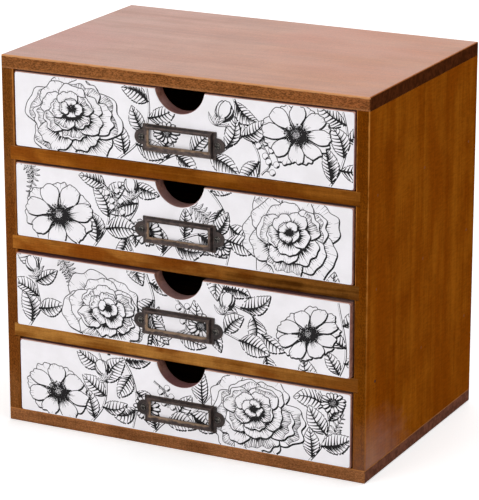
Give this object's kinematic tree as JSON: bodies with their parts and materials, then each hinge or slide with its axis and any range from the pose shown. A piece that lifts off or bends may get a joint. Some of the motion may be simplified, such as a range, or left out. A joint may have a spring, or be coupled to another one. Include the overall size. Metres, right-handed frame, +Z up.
{
  "type": "desktop mini drawers",
  "caption": "Small wooden desktop cabinet with stacked sliding drawers, each with a finger notch, a floral printed front and a metal label holder.",
  "frame": {"origin": "centre of the underside of the bottom board", "axes": "+Z up, -Y is the front that the drawers slide out of, +X to the right seen from the front"},
  "size_m": [0.25, 0.1722, 0.24],
  "materials": {
    "top_wood": "pinkish tan satin stain, fine grain along the width",
    "case_wood": "warm brown satin stain, eased edges, grain upright",
    "shelf_wood": "golden brown satin stain on the shelf boards",
    "front_wood": "pinkish tan bare edges of the drawer fronts",
    "box_wood": "plain light brown boards of the drawer boxes",
    "plywood": "thin plywood panels",
    "dowel_wood": "bare hidden dowels",
    "printed_paper": "matte white facing printed with black engraved flowers and leaves",
    "antique_bronze": "dark antiqued bronze, brassy where the edges are worn",
    "bronze_screw": "dark domed cross-head screws",
    "pin_steel": "dull steel brads"
  },
  "bodies": {
    "case": {"top_board": "top_wood", "bottom_board": "case_wood", "left_side": "case_wood", "right_side": "case_wood", "shelf_1": "shelf_wood", "shelf_2": "shelf_wood", "shelf_3": "shelf_wood", "back_panel": "plywood", "top_dowels": "dowel_wood", "case_brads": "pin_steel", "back_brads": "pin_steel"},
    "drawer_1": {"drawer_front_1": "front_wood", "front_print_1": "printed_paper", "drawer_left_1": "box_wood", "drawer_right_1": "box_wood", "drawer_back_1": "box_wood", "drawer_bottom_1": "plywood", "drawer_brads_1": "pin_steel", "label_holder_1": "antique_bronze", "holder_screws_1": "bronze_screw"},
    "drawer_2": {"drawer_front_2": "front_wood", "front_print_2": "printed_paper", "drawer_left_2": "box_wood", "drawer_right_2": "box_wood", "drawer_back_2": "box_wood", "drawer_bottom_2": "plywood", "drawer_brads_2": "pin_steel", "label_holder_2": "antique_bronze", "holder_screws_2": "bronze_screw"},
    "drawer_3": {"drawer_front_3": "front_wood", "front_print_3": "printed_paper", "drawer_left_3": "box_wood", "drawer_right_3": "box_wood", "drawer_back_3": "box_wood", "drawer_bottom_3": "plywood", "drawer_brads_3": "pin_steel", "label_holder_3": "antique_bronze", "holder_screws_3": "bronze_screw"},
    "drawer_4": {"drawer_front_4": "front_wood", "front_print_4": "printed_paper", "drawer_left_4": "box_wood", "drawer_right_4": "box_wood", "drawer_back_4": "box_wood", "drawer_bottom_4": "plywood", "drawer_brads_4": "pin_steel", "label_holder_4": "antique_bronze", "holder_screws_4": "bronze_screw"}
  },
  "joints": [
    {"name": "drawer_1_slide", "type": "slide", "parent": "case", "child": "drawer_1", "axis": [0, -1, 0], "range_m": [-0.0017, 0.14]},
    {"name": "drawer_2_slide", "type": "slide", "parent": "case", "child": "drawer_2", "axis": [0, -1, 0], "range_m": [-0.0025, 0.1392]},
    {"name": "drawer_3_slide", "type": "slide", "parent": "case", "child": "drawer_3", "axis": [0, -1, 0], "range_m": [-0.0049, 0.1368]},
    {"name": "drawer_4_slide", "type": "slide", "parent": "case", "child": "drawer_4", "axis": [0, -1, 0], "range_m": [-0.0025, 0.1392]}
  ]
}
